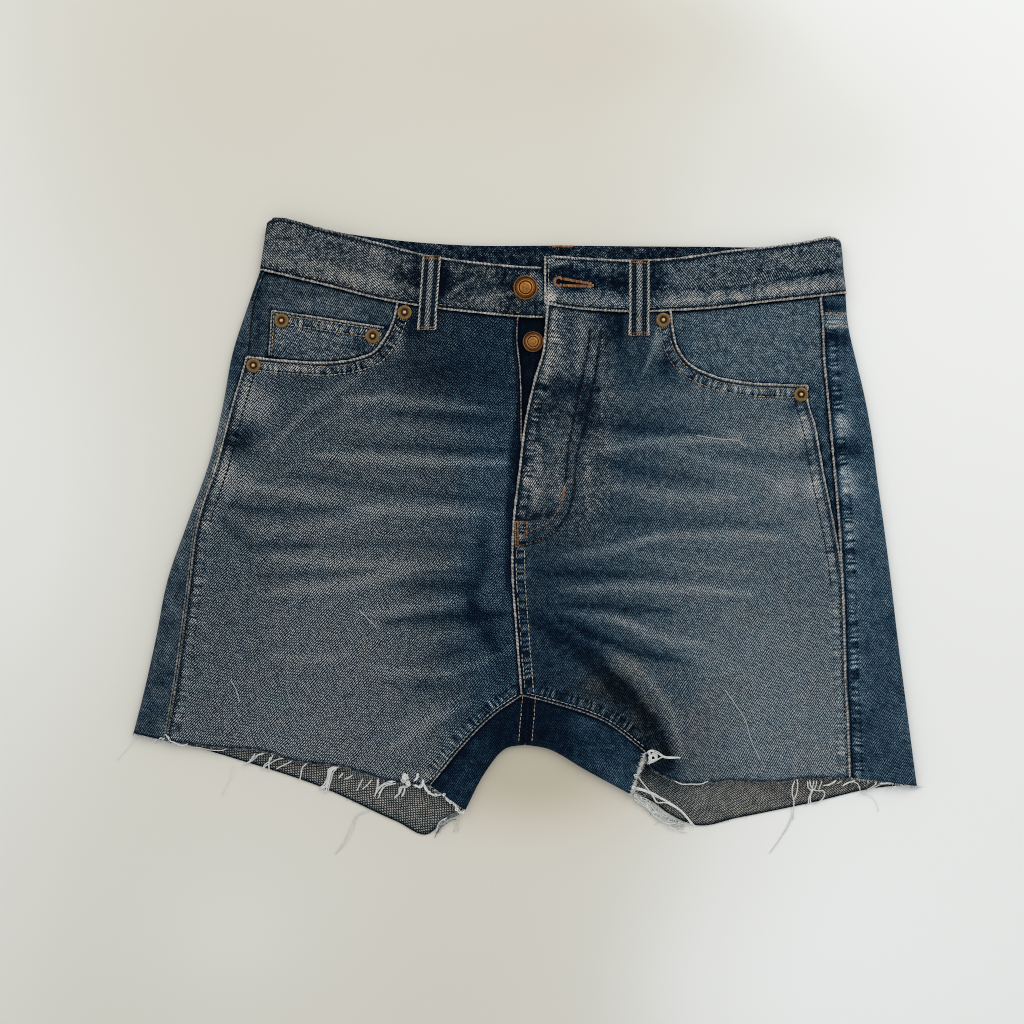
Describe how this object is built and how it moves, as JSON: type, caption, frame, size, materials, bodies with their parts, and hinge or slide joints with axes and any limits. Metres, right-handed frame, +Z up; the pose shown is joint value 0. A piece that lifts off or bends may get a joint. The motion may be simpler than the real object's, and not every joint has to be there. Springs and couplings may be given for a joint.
{
  "type": "denim shorts",
  "caption": "High-waisted cut-off denim shorts with a button fly, a coin pocket and raw frayed hems, laid flat front up.",
  "frame": {"origin": "middle of the whole part's box on the floor plane under the back", "axes": "+Z up out of the front of the shorts, -Y towards the hems, +X towards the wearer's left side"},
  "size_m": [0.5538, 0.4456, 0.0121],
  "materials": {
    "denim": "washed indigo denim twill, matt, faded over the thighs",
    "denim_dark": "darker indigo denim twill, matt, where it was covered",
    "denim_band": "washed indigo denim twill, matt, worn along its edges",
    "thread": "undyed cotton yarn, fuzzy and matt",
    "brass": "antique brass, aged and satin",
    "copper": "dark bronze, aged, with a reddish sheen"
  },
  "bodies": {
    "root": {"front_right": "denim", "front_left": "denim", "back_right": "denim", "back_left": "denim", "yoke_right": "denim", "yoke_left": "denim", "pocket_facing_right": "denim_dark", "pocket_facing_left": "denim_dark", "coin_pocket": "denim", "fly_shield": "denim_dark", "waistband": "denim_band", "belt_loop_front_right": "denim_band", "belt_loop_front_left": "denim_band", "belt_loop_back_right": "denim_band", "belt_loop_back_center": "denim_band", "belt_loop_back_left": "denim_band", "back_pocket_right": "denim_dark", "back_pocket_left": "denim_dark", "main_button": "brass", "fly_button": "brass", "rivet_coin_outer": "copper", "rivet_coin_inner": "copper", "rivet_right_top": "copper", "rivet_right_side": "copper", "rivet_left_top": "copper", "rivet_left_side": "copper", "fringe_front_right": "thread", "fringe_front_left": "thread", "fringe_back_right": "thread", "fringe_back_left": "thread"}
  },
  "joints": []
}
